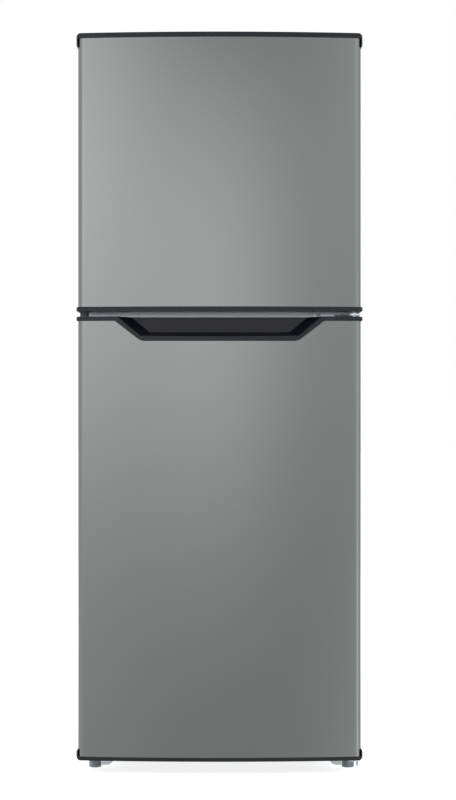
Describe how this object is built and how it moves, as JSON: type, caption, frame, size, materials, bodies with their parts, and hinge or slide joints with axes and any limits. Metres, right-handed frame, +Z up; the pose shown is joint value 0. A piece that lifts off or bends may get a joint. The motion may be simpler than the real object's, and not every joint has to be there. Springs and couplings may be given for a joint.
{
  "type": "top mount refrigerator",
  "caption": "Apartment-size refrigerator with a freezer on top, bowed dark steel doors with black end caps, a pocket handle, feet and rollers.",
  "frame": {"origin": "on the floor, under the middle of the whole outline", "axes": "+X to the right seen from the front, +Y to the back, +Z up; the doors face -Y"},
  "size_m": [0.55, 0.565, 1.43],
  "materials": {
    "door_steel": "satin",
    "cabinet_paint": "satin",
    "zinc_steel": "satin",
    "hinge_steel": "satin",
    "black_plastic": "satin",
    "grey_plastic": "satin",
    "white_liner": "gloss",
    "white_plastic": "satin",
    "clear_plastic": "gloss",
    "shelf_glass": "polished",
    "rigid_foam": "matte",
    "gasket_grey": "matte",
    "black_rubber": "matte",
    "acetal": "satin",
    "copper": "satin",
    "aluminium": "satin",
    "black_paint": "satin",
    "coated_wire": "gloss"
  },
  "bodies": {
    "cabinet": {"back_panel": "zinc_steel", "base_pan": "zinc_steel", "bottom_hinge": "hinge_steel", "cabinet_foam": "rigid_foam", "cabinet_wrapper": "cabinet_paint", "compressor": "black_paint", "compressor_bolts": "zinc_steel", "compressor_grommets": "black_rubber", "compressor_rail": "zinc_steel", "control_housing": "white_plastic", "cord_inlet": "black_plastic", "drain_pan": "black_plastic", "evaporator": "aluminium", "evaporator_cover": "white_plastic", "fan_motor": "black_paint", "filter_drier": "copper", "freezer_liner": "white_liner", "freezer_shelf": "coated_wire", "fridge_air_duct": "white_plastic", "fridge_liner": "white_liner", "front_base_rail": "zinc_steel", "hole_plugs": "grey_plastic", "left_foot_bracket": "hinge_steel", "light_lens": "clear_plastic", "machine_cover": "zinc_steel", "middle_hinge": "hinge_steel", "mullion_plate": "cabinet_paint", "refrigerant_pipes": "copper", "relay_cover": "black_plastic", "roller_axles": "zinc_steel", "screws": "zinc_steel", "shelf_glass": "shelf_glass", "shelf_trims": "white_plastic", "thermostat": "white_plastic", "top_hinge": "hinge_steel", "top_hinge_cover": "black_plastic"},
    "freezer_door": {"freezer_door_skin": "door_steel", "freezer_door_foam": "rigid_foam", "freezer_door_liner": "white_liner", "freezer_door_top_cap": "black_plastic", "freezer_door_bottom_cap": "black_plastic", "freezer_door_gasket": "gasket_grey", "freezer_door_bins": "clear_plastic", "freezer_door_bushes": "acetal"},
    "fridge_door": {"fridge_door_skin": "door_steel", "fridge_door_foam": "rigid_foam", "fridge_door_liner": "white_liner", "fridge_door_handle_cap": "black_plastic", "fridge_door_bottom_cap": "black_plastic", "fridge_door_gasket": "gasket_grey", "fridge_door_bins": "clear_plastic", "fridge_door_bushes": "acetal"},
    "crisper": {"crisper_drawer": "clear_plastic"},
    "light_switch": {"light_switch_plunger": "white_plastic"},
    "thermostat_dial": {"thermostat_knob": "white_plastic"},
    "fan": {"evaporator_fan": "white_plastic"},
    "left_front_foot": {"left_foot": "grey_plastic"},
    "right_front_foot": {"right_foot": "grey_plastic"},
    "left_back_roller": {"left_roller": "black_plastic"},
    "right_back_roller": {"right_roller": "black_plastic"}
  },
  "joints": [
    {"name": "freezer_door_hinge", "type": "hinge", "parent": "cabinet", "child": "freezer_door", "pos_m": [0.259, -0.244, 1.155], "axis": [0, 0, 1], "range_deg": [0, 130]},
    {"name": "fridge_door_hinge", "type": "hinge", "parent": "cabinet", "child": "fridge_door", "pos_m": [0.259, -0.244, 0.453], "axis": [0, 0, 1], "range_deg": [0, 130]},
    {"name": "crisper_slide", "type": "slide", "parent": "cabinet", "child": "crisper", "axis": [0, -1, 0], "range_m": [0, 0.15]},
    {"name": "light_switch_travel", "type": "slide", "parent": "cabinet", "child": "light_switch", "axis": [0, -1, 0], "range_m": [0, 0.006]},
    {"name": "thermostat_turn", "type": "hinge", "parent": "cabinet", "child": "thermostat_dial", "pos_m": [-0.05, -0.182, 0.832], "axis": [0, -1, 0], "range_deg": [0, 300]},
    {"name": "fan_spin", "type": "hinge", "parent": "cabinet", "child": "fan", "pos_m": [0, 0.1805, 1.265], "axis": [0, -1, 0], "continuous": true},
    {"name": "left_foot_screw", "type": "slide", "parent": "cabinet", "child": "left_front_foot", "axis": [0, 0, 1], "range_m": [-0.012, 0]},
    {"name": "right_foot_screw", "type": "slide", "parent": "cabinet", "child": "right_front_foot", "axis": [0, 0, 1], "range_m": [-0.012, 0]},
    {"name": "left_roller_spin", "type": "hinge", "parent": "cabinet", "child": "left_back_roller", "pos_m": [-0.236, 0.236, 0.018], "axis": [1, 0, 0], "continuous": true},
    {"name": "right_roller_spin", "type": "hinge", "parent": "cabinet", "child": "right_back_roller", "pos_m": [0.236, 0.236, 0.018], "axis": [1, 0, 0], "continuous": true}
  ],
  "couplings": [
    {"joint": "crisper_slide", "follows": "fridge_door_hinge", "m_per_rad": 0.0661},
    {"joint": "light_switch_travel", "follows": "fridge_door_hinge", "m_per_rad": 0.00264}
  ]
}
